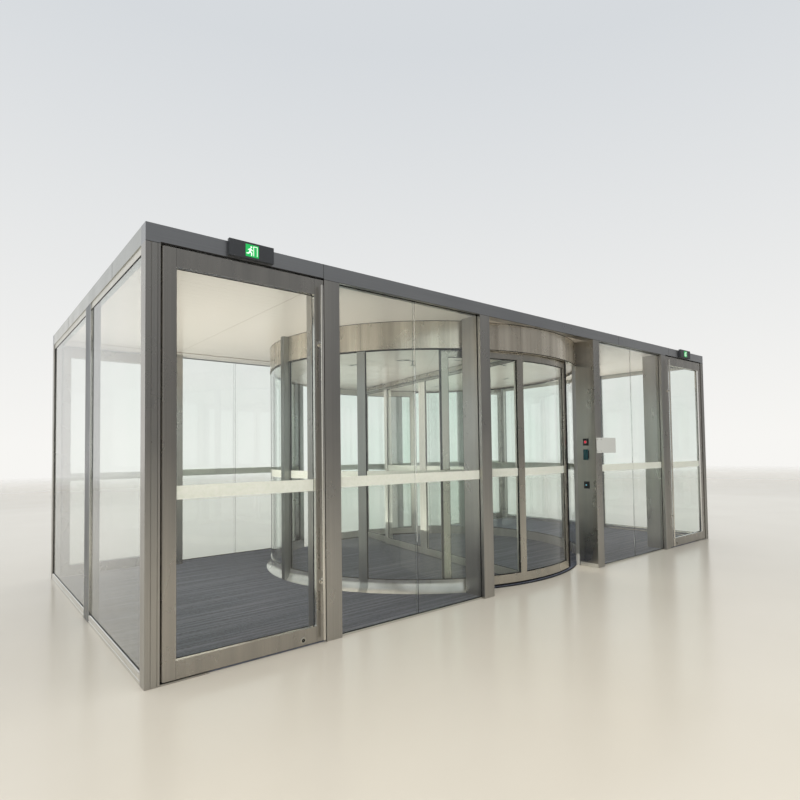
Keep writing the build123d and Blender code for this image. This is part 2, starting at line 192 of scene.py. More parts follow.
def plain_finish(name, colour, roughness, grain, depth, shade=0.85, **constants):
    """A moulded, painted or rubber surface: fine grain, and colour and gloss that drift a little."""
    finish, tree, shader, place = new_finish(name, **constants)
    cloud = mottle(tree, place, (0.35, 0.35, 0.35), 2.0)
    tone = blend(tree, cloud, linear(colour), darker(colour, shade))
    relief = {"Height": mottle(tree, place, (grain,) * 3), "Strength": 0.2, "Distance": depth}
    weather(tree, shader, tone, cloud, (roughness - 0.04, roughness + 0.06), relief)
    return finish


def clouded_finish(name, grain, detail, first, second, contrast=CONTRAST, **constants):
    """A smooth material whose colour drifts between two tones."""
    finish, tree, shader, place = new_finish(name, **constants)
    cloud = mottle(tree, place, grain, detail)
    wire(tree, shader, {"Base Color": blend(tree, cloud, linear(first), linear(second), contrast)})
    return finish


def float_glass(name, tint):
    """Toughened float glass: clear, with sharp reflections and a green trace that adds up pane by pane."""
    return clouded_finish(name, (0.8, 0.8, 1.2), 2.0, tint, "#fcfefd", IOR=1.52, Transmission_Weight=1.0,
                          Roughness=0.0)


def rib_pile():
    """Entrance mat of dyed nylon pile: charcoal blue-grey, with clumped fibres and paler walked-in streaks.

    The fibres are 1 mm thick. They are drawn as clumps of 5 by 14 mm so that they show.
    """
    finish, tree, shader, place = new_finish("nylon_rib_pile", Roughness=0.9)
    clumps = mottle(tree, place, (14 * MM, 5 * MM, 5 * MM), 4.0)
    streaks = mottle(tree, place, (2.2, 35 * MM, 1.0), 3.0)
    tone = blend(tree, clumps, linear("#4a4f5b"), linear("#7e8392"))
    tone = blend(tree, streaks, tone, linear("#a6a9b4"), {"From Min": 0.45, "From Max": 0.75}, 0.6)
    relief = {"Height": clumps, "Strength": 0.6, "Distance": 1.5 * MM}
    wire(tree, shader, {"Base Color": tone, "Normal": add(tree, "ShaderNodeBump", relief)})
    return finish


def lit_acrylic(name, colour, strength):
    """A backlit acrylic face, with a lamp field that is a little uneven."""
    finish, tree, shader, place = new_finish(name, Roughness=0.3, Emission_Strength=strength)
    field = mottle(tree, place, (0.2, 0.2, 0.2), 1.0)
    tone = blend(tree, field, linear(colour), darker(colour, 0.75), FULL_RANGE)
    wire(tree, shader, {"Base Color": tone, "Emission Color": tone})
    return finish


# Cladding of columns and leaves: neutral satin steel that mirrors the pale floor in its lower half
STEEL_POSTS = brushed_steel("brushed_steel_columns", "upright", "#b0aeaa", "#bebbb5", 0.3)
STEEL_LEAVES = brushed_steel("brushed_steel_leaves", "upright", "#aaa7a2", "#bab6af", 0.27)
# Headers are folded along their length, so their grain is level and their tone cooler
STEEL_HEADERS = brushed_steel("brushed_steel_headers", "level", "#a9aaac", "#b7b8b9", 0.32)
STEEL_SIDE_HEADERS = brushed_steel("satin_steel_side_headers", "level", "#aaaca9", "#bdbdb4", 0.16)
# The middle posts of the side walls are of a darker stock
STEEL_SIDE_POSTS = brushed_steel("dark_steel_side_posts", "upright", "#5b5f63", "#6b6e70", 0.3)
# Curved sheets of the drum show broad upright bands, partly of the brushing and partly painted reflection in
# their pale tone
STEEL_FASCIA = brushed_steel("brushed_steel_fascia", "upright", "#b9b1a4", "#eee7d8", 0.26, 0.85)
STEEL_DRUM_POSTS = brushed_steel("brushed_steel_drum_posts", "upright", "#a0a29f", "#afb1ad", 0.34,
                                 rim=0.35)
STEEL_BASE = brushed_steel("polished_steel_base_rail", "upright", "#d2d2cd", "#e6e5e0", 0.2, 0.6)
# The rotor: satin frames, paler in the wing than in the curved panels. The paler copy of the steel is
# painted light that lifts the wing out of the shade it stands in; the rear end panel, the side walls' head
# strips and the portal plinths share it.
STEEL_PANELS = brushed_steel("satin_steel_end_panels", "upright", "#bdb9b0", "#cdc8bd", 0.27)
STEEL_WING_PAINTED_LIGHT = brushed_steel("satin_steel_wing_painted_lighter", "upright", "#dddbd3", "#e8e6de", 0.34, 0.5)
# Polished pieces that mirror the floor and the daylight
STEEL_SILLS = brushed_steel("polished_steel_sills", "level", "#cfcfcb", "#e2e1dc", 0.12)
STEEL_PULLS = plain_finish("polished_steel_pulls", "#e2dfd7", 0.16, 0.004, 0.01 * MM, 0.9, Metallic=1.0)
GLASS = float_glass("toughened_float_glass", "#f6fbf8")
CURVED_GLASS = float_glass("curved_float_glass", "#f2faf6")
# Etched-look vinyl on the glass: milky and dull, with a trace of what stands behind it
FILM_WHITE = clouded_finish("frosted_vinyl_film", (0.02, 0.02, 0.02), 4.0, "#fafbf3", "#f0f3e8",
                            Roughness=0.75, Transmission_Weight=0.4, IOR=1.15)
# Silicone in the butt joint between two panes: a thin grey line that is barely there
SILICONE = clouded_finish("clear_silicone_joint", (0.05, 0.05, 0.2), 3.0, "#8d9494", "#757c7c", FULL_RANGE,
                          Roughness=0.35, Alpha=0.22)
# Glossy enamel on the ceiling sheets picks up the light from outside
CEILING = plain_finish("gloss_enamel_ceiling", "#e7e0d7", 0.2, 0.02, 0.1 * MM, 0.97)
# The slat grooves are lines a little darker than the enamel: painted shade in the grooves
SLAT_GROOVE_SHADE = plain_finish("slat_groove_painted_shade", "#c3beb1", 0.4, 0.02, 0.1 * MM, 0.95)
ROOF = plain_finish("coil_coated_roof_sheet", "#8b8e90", 0.45, 0.01, 0.2 * MM)
MAT = rib_pile()
# Rubber and nylon stay almost black and dull
RUBBER = plain_finish("epdm_gasket_rubber", "#17181a", 0.6, 0.004, 0.2 * MM)
BRISTLE = plain_finish("nylon_brush_bristle", "#1d1e20", 0.75, 0.003, 0.4 * MM)
SHADOW = plain_finish("open_joint_shadow", "#1f1e1d", 0.8, 0.01, 0.1 * MM)
# Real joints and a ceiling edge, drawn dark brown: painted shadow in their gaps
GAP_SHADOW_BROWN = plain_finish("brown_painted_gap_shadow", "#7a6248", 0.4, 0.01, 0.1 * MM, 0.9, Metallic=0.6)
# Moulded housings have a fine spark-eroded grain
SIGN_BOX = plain_finish("sign_housing_abs", "#35383d", 0.4, 0.002, 0.1 * MM)
BUTTON_BODY = plain_finish("button_housing_abs", "#1f2124", 0.42, 0.002, 0.1 * MM)
BUTTON_PANEL = plain_finish("key_panel_polycarbonate", "#173c42", 0.25, 0.003, 0.05 * MM)
PLATE = plain_finish("notice_plate_acrylic", "#c9cbc7", 0.2, 0.01, 0.02 * MM, 0.97)
SIGN_GREEN = lit_acrylic("sign_face_green_acrylic", "#17a552", 0.5)
SIGN_WHITE = lit_acrylic("sign_figure_white_acrylic", "#e4f5e8", 0.6)
BUTTON_LENS = lit_acrylic("button_lens_red_acrylic", "#c8203a", 0.6)
STATUS_LIGHT = lit_acrylic("status_light_cyan_acrylic", "#3fb6d8", 0.6)
NICKEL = plain_finish("nickel_plated_brass", "#c9c6bd", 0.25, 0.003, 0.05 * MM, 0.9, Metallic=1.0)

# The first name that a node starts with counts, so the longer names come first
BY_NAME = {"header_left": STEEL_SIDE_HEADERS, "header_right": STEEL_SIDE_HEADERS, "header": STEEL_HEADERS,
           "floor_channels": STEEL_SILLS, "drum_base": STEEL_BASE, "drum_posts": STEEL_DRUM_POSTS,
           "drum_fascia": STEEL_FASCIA, "swing_pulls": STEEL_PULLS, "swing_leaf": STEEL_LEAVES,
           # The rear end panel takes the wing's paler copy of the steel, which is painted light
           "curved_panel_rear": STEEL_WING_PAINTED_LIGHT, "curved_panel": STEEL_PANELS, "rotor_transom": STEEL_PANELS,
           "wing_screens": STEEL_WING_PAINTED_LIGHT, "sliding_leaf": STEEL_WING_PAINTED_LIGHT, "drum_glass": CURVED_GLASS,
           "curved_glass": CURVED_GLASS}
BY_SLOT = {"brushed_steel": STEEL_POSTS, "clear_glass": GLASS, "ceiling_panel": CEILING, "roof_sheet": ROOF,
           "entrance_mat": MAT, "seal_rubber": RUBBER, "exit_sign": SIGN_BOX, "control_plastic": BUTTON_BODY}


def finish_construction():
    """Every piece of the construction gets its finish, by its name or else by its slot in the record."""
    slots = {row["node"]: row["material_slot"] for row in frame["record"]["subparts"]}
    for name, part in frame["nodes"].items():
        named = [finish for start, finish in BY_NAME.items() if name.startswith(start)]
        for material_slot in part.material_slots:
            material_slot.material = named[0] if named else BY_SLOT[slots[name]]


# Shapes on flat and round surfaces


def flat(origin, along, out):
    """A flat surface: u runs along it, w stands out from it, and z is the height."""
    start, run, away = Vector(origin), Vector(along), Vector(out)
    return lambda u, w, z: start + run * u + away * w + Vector((0, 0, z))


def along_x(y, out, x=0, z=0):
    """A flat surface along X that faces the front (-1) or the rear (1)."""
    return flat((x, y, z), (1, 0, 0), (0, out, 0))


def along_y(x, out, y=0, z=0):
    """A flat surface along Y that faces the left (-1) or the right (1)."""
    return flat((x, y, z), (0, 1, 0), (out, 0, 0))


def round_wall(radius, middle=0.0, facing=1):
    """A round wall about the Z axis: u runs along it from its middle, w stands out from it."""
    def place(u, w, z):
        angle = middle + u / radius
        reach = radius + facing * w
        return Vector((reach * math.cos(angle), reach * math.sin(angle), z))
    return place


def mm(*lengths):
    """Metres from millimetres."""
    return tuple(length * MM for length in lengths)


def about(middle, half):
    """A span to both sides of its middle."""
    return middle - half, middle + half


def between(start, end, steps):
    return [start + (end - start) * i / steps for i in range(steps + 1)]


def gasket_section(height, width=GASKET, start=0):
    """A gasket whose outer edge stands this many mm off the pane's middle, and its inner edge 1 mm less."""
    end = start + width
    return [(start, GLASS_FACE), (start, height * MM), (end, (height - 1) * MM), (end, GLASS_FACE)]


def skin(mesh, rows, closed=False):
    """Faces between rows of points. Each row is a loop round the section, and open ends get a cap."""
    rows = [[mesh.verts.new(point) for point in row] for row in rows]
    count = len(rows[0])
    for k in range(len(rows) if closed else len(rows) - 1):
        first, second = rows[k], rows[(k + 1) % len(rows)]
        for i in range(count):
            j = (i + 1) % count
            mesh.faces.new((first[i], first[j], second[j], second[i]))
    if not closed:
        mesh.faces.new(rows[0][::-1])
        mesh.faces.new(rows[-1])


def strip(mesh, surface, span_u, section, steps=1):
    """A section of (w, z) points drawn along a surface."""
    skin(mesh, [[surface(u, w, z) for w, z in section] for u in between(*span_u, steps)])


def slab(mesh, surface, span_u, span_w, span_z, steps=1):
    """A plain rectangular section drawn along a surface."""
    (w0, w1), (z0, z1) = span_w, span_z
    strip(mesh, surface, span_u, [(w0, z0), (w1, z0), (w1, z1), (w0, z1)], steps)


def ring(mesh, surface, span_u, span_z, section, steps=1):
    """A mitred frame inside an opening. The section's points are (distance inwards, distance out)."""
    (u0, u1), (z0, z1) = span_u, span_z
    across = between(u0, u1, steps)
    stations = [(u, z0, 0, 1) for u in across[1:-1]] + [(u1, z0, -1, 1), (u1, z1, -1, -1)]
    stations += [(u, z1, 0, -1) for u in across[-2:0:-1]] + [(u0, z1, 1, -1), (u0, z0, 1, 1)]
    skin(mesh, [[surface(u + du * i, w, z + dz * i) for i, w in section] for u, z, du, dz in stations], True)


def turned(mesh, centre, axis, outline, sides=32):
    """A round piece about an axis. The outline's points are (radius, distance along the axis)."""
    tilt = Vector((0, 0, 1)).rotation_difference(Vector(axis)).to_matrix()
    circle = [(math.cos(2 * math.pi * k / sides), math.sin(2 * math.pi * k / sides)) for k in range(sides)]
    skin(mesh, [[Vector(centre) + tilt @ Vector((r * c, r * s, along)) for c, s in circle]
                for r, along in outline])


def new_object(name, data):
    """An object in the scene for a mesh, a lamp or a camera."""
    made = bpy.data.objects.new(name, data)
    scene.collection.objects.link(made)
    return made


def mesh_object(name, mesh, finish):
    """An object from a mesh under construction, facing outwards and with its finish."""
    bmesh.ops.recalc_face_normals(mesh, faces=mesh.faces)
    data = bpy.data.meshes.new(name)
    mesh.to_mesh(data)
    mesh.free()
    data.materials.append(finish)
    return new_object(name, data)


def piece(name, mesh, finish, body="frame", edge=0.0):
    """A finished piece that rides on a body, with rounded edges if wanted."""
    made = mesh_object(name, mesh, finish)
    if edge:
        bevel = made.modifiers.new("rounded_edges", "BEVEL")
        bevel.width, bevel.segments, bevel.limit_method = edge, 2, "ANGLE"
    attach(made, body)
    return made


# Repeats along a line, an arc or a floor


def repeat_tree(name, **inputs):
    """A tree with named inputs of these kinds. Returns the tree and the sockets of its inputs."""
    tree = bpy.data.node_groups.new(name, "GeometryNodeTree")
    for label, kind in inputs.items():
        tree.interface.new_socket(label, in_out="INPUT", socket_type=f"NodeSocket{kind}")
    tree.interface.new_socket("Geometry", in_out="OUTPUT", socket_type="NodeSocketGeometry")
    return tree, tree.nodes.new("NodeGroupInput").outputs


def finish_tree(tree, finish, **instances):
    """The tree's end: one shape on many points, as real geometry with its finish."""
    repeats = add(tree, "GeometryNodeInstanceOnPoints", instances)
    solid = add(tree, "GeometryNodeRealizeInstances", {0: repeats})
    add(tree, "NodeGroupOutput", {0: add(tree, "GeometryNodeSetMaterial",
                                         {"Geometry": solid, "Material": finish})})
    return tree


def grow(name, tree, slot, body="frame", **values):
    """Runs a tree once and keeps its result as a plain mesh on a body."""
    made = new_object(name, bpy.data.meshes.new(name))
    modifier = made.modifiers.new(name, "NODES")
    modifier.node_group = tree
    for item in tree.interface.items_tree:
        if item.in_out == "INPUT":
            modifier[item.identifier] = values[item.name]
    data = bpy.data.meshes.new_from_object(made.evaluated_get(bpy.context.evaluated_depsgraph_get()))
    made.modifiers.remove(modifier)
    data.name = name
    made.data = data
    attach(made, body)


def line_to_circle_tree(name, finish, circle_first):
    """Bars along X, one behind the other, that start or end on a circle about the drum's axis."""
    tree, given = repeat_tree(name, Count="Int", Spacing="Float", Circle="Float", Near="Float", Far="Float",
                              Side="Float", Width="Float", Height="Float", Level="Float")
    order = add(tree, "GeometryNodeInputIndex")
    steps = add(tree, "ShaderNodeMath", {0: given["Count"], 1: 1.0}, operation="SUBTRACT")
    middle = add(tree, "ShaderNodeMath", {0: steps, 1: 0.5}, operation="MULTIPLY")
    place = add(tree, "ShaderNodeMath", {0: order, 1: middle}, operation="SUBTRACT")
    y = add(tree, "ShaderNodeMath", {0: place, 1: given["Spacing"]}, operation="MULTIPLY")
    y_squared = add(tree, "ShaderNodeMath", {0: y, 1: y}, operation="MULTIPLY")
    r_squared = add(tree, "ShaderNodeMath", {0: given["Circle"], 1: given["Circle"]}, operation="MULTIPLY")
    rest = add(tree, "ShaderNodeMath", {0: r_squared, 1: y_squared}, operation="SUBTRACT")
    rest = add(tree, "ShaderNodeMath", {0: rest, 1: 0.0}, operation="MAXIMUM")
    edge = add(tree, "ShaderNodeMath", {0: rest}, operation="SQRT")
    start, end = given["Near"], edge
    if circle_first:
        start = add(tree, "ShaderNodeMath", {0: edge, 1: given["Near"]}, operation="MAXIMUM")
        end = given["Far"]
    length = add(tree, "ShaderNodeMath", {0: end, 1: start}, operation="SUBTRACT")
    total = add(tree, "ShaderNodeMath", {0: start, 1: end}, operation="ADD")
    half_side = add(tree, "ShaderNodeMath", {0: given["Side"], 1: 0.5}, operation="MULTIPLY")
    x = add(tree, "ShaderNodeMath", {0: total, 1: half_side}, operation="MULTIPLY")
    spot = add(tree, "ShaderNodeCombineXYZ", {0: x, 1: y, 2: given["Level"]})
    row = add(tree, "GeometryNodeMeshLine", {"Count": given["Count"]})
    row = add(tree, "GeometryNodeSetPosition", {"Geometry": row, "Position": spot})
    bar = add(tree, "GeometryNodeMeshCube", {"Size": (1.0, 1.0, 1.0)})
    size = add(tree, "ShaderNodeCombineXYZ", {0: length, 1: given["Width"], 2: given["Height"]})
    return finish_tree(tree, finish, Points=row, Instance=bar, Scale=size)


def arc_tree(name, finish):
    """Small bars, such as tufts of bristle, along an arc about the drum's axis, each turned with it."""
    tree, given = repeat_tree(name, Count="Int", Radius="Float", Start="Float", Sweep="Float", Level="Float",
                              Size="Vector")
    order = add(tree, "GeometryNodeInputIndex")
    steps = add(tree, "ShaderNodeMath", {0: given["Count"], 1: 1.0}, operation="SUBTRACT")
    share = add(tree, "ShaderNodeMath", {0: order, 1: steps}, operation="DIVIDE")
    turn = add(tree, "ShaderNodeMath", {0: share, 1: given["Sweep"]}, operation="MULTIPLY")
    angle = add(tree, "ShaderNodeMath", {0: turn, 1: given["Start"]}, operation="ADD")
    cosine = add(tree, "ShaderNodeMath", {0: angle}, operation="COSINE")
    sine = add(tree, "ShaderNodeMath", {0: angle}, operation="SINE")
    x = add(tree, "ShaderNodeMath", {0: cosine, 1: given["Radius"]}, operation="MULTIPLY")
    y = add(tree, "ShaderNodeMath", {0: sine, 1: given["Radius"]}, operation="MULTIPLY")
    spot = add(tree, "ShaderNodeCombineXYZ", {0: x, 1: y, 2: given["Level"]})
    row = add(tree, "GeometryNodeMeshLine", {"Count": given["Count"]})
    row = add(tree, "GeometryNodeSetPosition", {"Geometry": row, "Position": spot})
    bar = add(tree, "GeometryNodeMeshCube", {"Size": given["Size"]})
    facing = add(tree, "ShaderNodeCombineXYZ", {2: angle})
    return finish_tree(tree, finish, Points=row, Instance=bar, Rotation=facing)


def row_tree(name, finish, shape, **inputs):
    """Equal pieces in a straight row, each of the shape that a function adds to the tree."""
    tree, given = repeat_tree(name, Count="Int", First="Vector", Step="Vector", **inputs)
    row = add(tree, "GeometryNodeMeshLine", {"Count": given["Count"], "Start Location": given["First"],
                                             "Offset": given["Step"]})
    return finish_tree(tree, finish, Points=row, Instance=shape(tree, given))


def pan_head(tree, given):
    """The head of a screw on a level plate, smaller at its top."""
    top = add(tree, "ShaderNodeMath", {0: given["Radius"], 1: 0.6}, operation="MULTIPLY")
    return add(tree, "GeometryNodeMeshCone", {"Vertices": 14, "Radius Bottom": given["Radius"],
                                              "Radius Top": top, "Depth": given["Rise"]})


def seam_bar(tree, given):
    return add(tree, "GeometryNodeMeshCube", {"Size": given["Size"]})


# Swing doors


def door_glazing():
    """Sloped beads and black gaskets round the glass of each door, and the frosted band across it."""
    bead = [(0, GLASS_FACE), (0, 27.5 * MM), (1.5 * MM, 27.5 * MM), (BEAD, 9 * MM), (BEAD, GLASS_FACE)]
    gasket = gasket_section(8, BEAD_GASKET, BEAD)
    inset = BEAD + BEAD_GASKET
    for name, (_, face) in CORNERS.items():
        low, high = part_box(f"swing_glass_{name}")
        middle = (low.y + high.y) / 2
        beads, gaskets, band = bmesh.new(), bmesh.new(), bmesh.new()
        for outward in (-1, 1):
            surface = along_x(middle, outward)
            ring(beads, surface, (low.x, high.x), (low.z, high.z), bead)
            ring(gaskets, surface, (low.x, high.x), (low.z, high.z), gasket)
        slab(band, along_x(middle, face), (low.x + inset, high.x - inset), FILM, BAND_ON_DOORS)
        piece(f"glazing_beads_{name}", beads, STEEL_SILLS, f"swing_door_{name}")
        piece(f"glazing_gaskets_{name}", gaskets, RUBBER, f"swing_door_{name}")
        piece(f"frosted_band_{name}", band, FILM_WHITE, f"swing_door_{name}")


def door_joints_and_sweeps():
    """Butt joints where the rails meet the stiles, and a black sweep under each leaf."""
    for name in CORNERS:
        low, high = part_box(f"swing_leaf_{name}")
        glass_low, glass_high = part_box(f"swing_glass_{name}")
        joints, sweep = bmesh.new(), bmesh.new()
        for outward, y in ((-1, low.y), (1, high.y)):
            for x in (glass_low.x, glass_high.x):
                for rail in ((low.z, glass_low.z), (glass_high.z, high.z)):
                    slab(joints, along_x(y, outward), about(x, 0.6 * MM), mm(-1, 0.2), rail)
        slab(sweep, along_x((low.y + high.y) / 2, 1), (low.x + 4 * MM, high.x - 4 * MM), mm(-24, 24),
             mm(12.6, 17))
        piece(f"leaf_joints_{name}", joints, SHADOW, f"swing_door_{name}")
        piece(f"leaf_sweep_{name}", sweep, BRISTLE, f"swing_door_{name}", 1 * MM)


def door_locks():
    """A lock cylinder in each bottom rail near the lock edge, on both faces."""
    edge_distance, height = 0.187, 0.052
    rim = [mm(12, -1), mm(24, -1), mm(24, 2), mm(21, 5), mm(14, 4), mm(12, 2)]
    core = [mm(12.5, 1), mm(12.5, 4.2), mm(10, 4.8)]
    for name, (side, _) in CORNERS.items():
        low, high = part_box(f"swing_leaf_{name}")
        x = high.x - edge_distance if side < 0 else low.x + edge_distance
        rings, cores = bmesh.new(), bmesh.new()
        for outward, y in ((-1, low.y), (1, high.y)):
            turned(rings, (x, y, height), (0, outward, 0), rim)
            turned(cores, (x, y, height), (0, outward, 0), core)
            slab(rings, along_x(y, outward, x, height), mm(-0.8, 0.8), mm(4, 5.2), mm(-5, 5))
        piece(f"lock_rims_{name}", rings, NICKEL, f"swing_door_{name}")
        piece(f"lock_cores_{name}", cores, RUBBER, f"swing_door_{name}")


def pull_fittings():
    """Round roses where the pull brackets meet the leaf, and caps on the ends of the bars."""
    bracket_heights, bar_radius = (0.460, 2.245), 0.011
    rose = [mm(22, 0), mm(22, 3), mm(19, 5), mm(9, 5)]
    cap = [mm(9.5, -1), mm(9.5, 3), mm(7, 4.5)]
    for name in CORNERS:
        leaf_low, leaf_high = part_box(f"swing_leaf_{name}")
        low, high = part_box(f"swing_pulls_{name}")
        x = (low.x + high.x) / 2
        mesh = bmesh.new()
        for outward, leaf_y, bar_y in ((-1, leaf_low.y, low.y + bar_radius),
                                       (1, leaf_high.y, high.y - bar_radius)):
            for z in bracket_heights:
                turned(mesh, (x, leaf_y, z), (0, outward, 0), rose)
            for z, up in ((low.z, -1), (high.z, 1)):
                turned(mesh, (x, bar_y, z), (0, 0, up), cap)
        piece(f"pull_roses_{name}", mesh, STEEL_PULLS, f"swing_door_{name}")


# Fixed bays, side walls and headers


def fixed_bay_fittings():
    """Frosted bands, edge gaskets and the clear butt joint of the fixed bays, front and rear."""
    butt, channel_top = about(1.868, JOINT_HALF), 15 * MM
    for end, face in ENDS:
        low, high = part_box(f"fixed_glass_{end}")
        middle = (low.y + high.y) / 2
        bands, gaskets, joints = bmesh.new(), bmesh.new(), bmesh.new()
        for side in (-1, 1):
            outer, inner = (flat((0, middle, 0), (side, 0, 0), (0, out, 0)) for out in (face, -face))
            for span in ((COLUMN_OUTER + GASKET, butt[0]), (butt[1], high.x - GASKET)):
                slab(bands, outer, span, FILM, BAND_ON_BAYS)
            for surface in (outer, inner):
                ring(gaskets, surface, (COLUMN_OUTER, high.x), (channel_top, high.z), gasket_section(8))
                slab(joints, surface, butt, (GLASS_FACE - 1 * MM, GLASS_FACE + 0.3 * MM),
                     (channel_top + 5 * MM, high.z - 6 * MM))
        piece(f"frosted_bands_{end}", bands, FILM_WHITE)
        piece(f"bay_gaskets_{end}", gaskets, RUBBER)
        piece(f"butt_joints_{end}", joints, SILICONE)


def side_walls():
    """Side walls: a dark middle post with a bright strip, ridged polished sills, head strips and gaskets."""
    sill = [mm(w, z) for w, z in (
        (0, 0), (0, 22), (-2.5, 25), (-2.5, 31), (0, 34), (0, 62), (-3, 71), (-9, 75), (-29, 75), (-35, 71),
        (-38, 62), (-38, 34), (-35.5, 31), (-35.5, 25), (-38, 22), (-38, 0))]
    head_strip, butts = 50 * MM, (-1.139, 0.947)
    for hand, side in HANDS:
        low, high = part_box(f"side_glass_{hand}")
        outer_wall = along_y(side * HALF_LENGTH, side)
        post, edge_band, sills, heads = bmesh.new(), bmesh.new(), bmesh.new(), bmesh.new()
        gaskets, joints = bmesh.new(), bmesh.new()
        slab(post, outer_wall, SIDE_POST, mm(-88, -1), (0, HEAD))
        for y, turn in zip(SIDE_POST, (-1, 1)):
            reveal = flat((side * HALF_LENGTH, y, 0), (side, 0, 0), (0, turn, 0))
            slab(edge_band, reveal, mm(-27, -1), mm(-2, 7), (76 * MM, HEAD - 1 * MM))
        for start, end in ((low.y, SIDE_POST[0]), (SIDE_POST[1], high.y)):
            strip(sills, outer_wall, (start, end), sill)
            for out in (1, -1):
                pane = along_y((low.x + high.x) / 2, out)
                slab(heads, pane, (start, end), (GLASS_FACE, 11 * MM), (high.z - head_strip, high.z))
                ring(gaskets, pane, (start, end), (low.z + 1 * MM, high.z - head_strip), gasket_section(9))
        for y in butts:
            slab(joints, outer_wall, about(y, JOINT_HALF), JOINT, (HEAD, HEADER_TOP))
        made = piece(f"side_post_{hand}", post, STEEL_SIDE_POSTS, edge=2 * MM)
        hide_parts(f"side_frame_{hand}")
        piece(f"side_post_strips_{hand}", edge_band, STEEL_SILLS)
        piece(f"side_sills_{hand}", sills, STEEL_SILLS)
        piece(f"head_strips_{hand}", heads, STEEL_WING_PAINTED_LIGHT)
        piece(f"side_gaskets_{hand}", gaskets, RUBBER)
        piece(f"side_header_joints_{hand}", joints, SHADOW)


def header_joints():
    """Butt joints in the header cladding, and the dark gap over each swing door."""
    butts = (-2.78, 1.51, 2.88)
    mesh = bmesh.new()
    for face in (-1, 1):
        front = along_x(face * HALF_DEPTH, face)
        for x in butts:
            slab(mesh, front, about(x, JOINT_HALF), JOINT, (HEAD, HEADER_TOP))
        slab(mesh, front, about(0, HALF_LENGTH), JOINT, (HEAD, HEAD + 3 * MM))
        for side in (-1, 1):
            slab(mesh, front, sorted(side * x for x in DOORWAY), JOINT, (HEAD, HEAD + 11 * MM))
    piece("header_joints", mesh, SHADOW)


def portal_plinths():
    """A low plate along the foot of each portal's reveal."""
    start, height = 1.845, 45 * MM
    mesh = bmesh.new()
    for side in (-1, 1):
        for face in (-1, 1):
            reveal = flat((side * PORTAL_HALF, 0, 0), (0, face, 0), (-side, 0, 0))
            slab(mesh, reveal, (start, HALF_DEPTH - 1 * MM), mm(-1, 3), (0.0, height))
    piece("portal_plinths", mesh, STEEL_WING_PAINTED_LIGHT, edge=1 * MM)


# Ceilings and roof


def ceiling_fittings():
    """Slat grooves, panel joints and an edge line near the rear in the two flat ceilings. The joints and the
    edge line are drawn dark brown, and the grooves a little darker than the enamel: painted shadow in their
    gaps.
    """
    joint_place, edge_line_start, edge_band = 2.735, 1.30, (1.645, 1.660)
    low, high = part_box("ceiling_left")
    # The grooves' darker tone is painted shade
    grooves = line_to_circle_tree("ceiling_slat_grooves", SLAT_GROOVE_SHADE, True)
    for hand, side in HANDS:
        grow(f"slat_grooves_{hand}", grooves, "ceiling_panel", Count=int(2 * high.y / SLAT), Spacing=SLAT,
             Circle=DRUM_OUTER + 2 * MM, Near=COLUMN_OUTER, Far=-low.x, Side=float(side), Width=2.5 * MM,
             Height=1 * MM, Level=low.z + 0.2 * MM)
    joints, edge_gap_shades = bmesh.new(), bmesh.new()
    for side in (-1, 1):
        surface = flat((0, 0, 0), (side, 0, 0), (0, 1, 0))
        slab(joints, surface, about(joint_place, JOINT_HALF), (-high.y, high.y),
             (low.z - PROUD, low.z + 1 * MM))
        slab(edge_gap_shades, surface, (edge_line_start, -low.x), edge_band, (low.z - 3 * MM, low.z + 1 * MM))
    # Dark brown joint and edge lines: painted shadow in their gaps
    piece("ceiling_joints", joints, GAP_SHADOW_BROWN)
    piece("ceiling_edge_gap_shadow", edge_gap_shades, GAP_SHADOW_BROWN)


def drum_ceiling_fittings():
    """Twelve radial joints with a double slot lamp between each two, and a sprinkler head."""
    first, pitch, lamp_shift = math.radians(24), math.radians(30), 42 * MM
    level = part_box("drum_ceiling")[0].z
    joints, slots, lamps = bmesh.new(), bmesh.new(), bmesh.new()
    for k in range(12):
        joint_ray, lamp_ray = (
            flat((0, 0, 0), (math.cos(angle), math.sin(angle), 0), (-math.sin(angle), math.cos(angle), 0))
            for angle in (first + k * pitch, first + (k + 0.5) * pitch))
        slab(joints, joint_ray, (0.40, 2.0), about(0, JOINT_HALF), (level - PROUD, level + 1 * MM))
        for shift in (-lamp_shift, lamp_shift):
            slab(slots, lamp_ray, about(LIGHT_RING, 22 * MM), about(shift, 38 * MM),
                 (level - 4 * MM, level + 1 * MM))
            slab(lamps, lamp_ray, about(LIGHT_RING, 12 * MM), about(shift, 28 * MM),
                 (level - 5 * MM, level - 3 * MM))
    # The radial joints are drawn dark brown: painted shadow in the joints
    piece("drum_ceiling_joints", joints, GAP_SHADOW_BROWN)
    piece("slot_lamp_rims", slots, PLATE, edge=1.5 * MM)
    piece("slot_lamp_throats", lamps, SHADOW)
    head = bmesh.new()
    turned(head, (-0.889, -0.838, level), (0, 0, -1), [
        mm(35, -1), mm(35, 2), mm(22, 6), mm(9, 8), mm(9, 48), mm(24, 50), mm(26, 58), mm(18, 62)])
    piece("sprinkler_head", head, PLATE)


def roof_fittings():
    """Standing seams across the roof sheet and flat joints round its edge."""
    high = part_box("roof_deck")[1]
    pitch, count, rise, end_gaps = 0.6, 13, 12 * MM, 0.08
    tree = row_tree("roof_seam_row", ROOF, seam_bar, Size="Vector")
    grow("roof_seams", tree, "roof_sheet", Count=count,
         First=(-pitch * (count - 1) / 2, 0, high.z + rise / 2 - 0.5 * MM), Step=(pitch, 0, 0),
         Size=(8 * MM, 2 * high.y - end_gaps, rise))
    edge, seal = bmesh.new(), (high.z - 1 * MM, high.z + PROUD)
    for side in (-1, 1):
        slab(edge, along_y(side * high.x, side), (-high.y, high.y), mm(-2, 2), seal)
        slab(edge, along_x(side * high.y, side), (-high.x, high.x), mm(-2, 2), seal)
    piece("roof_edge_seal", edge, RUBBER)


# Drum and rotor


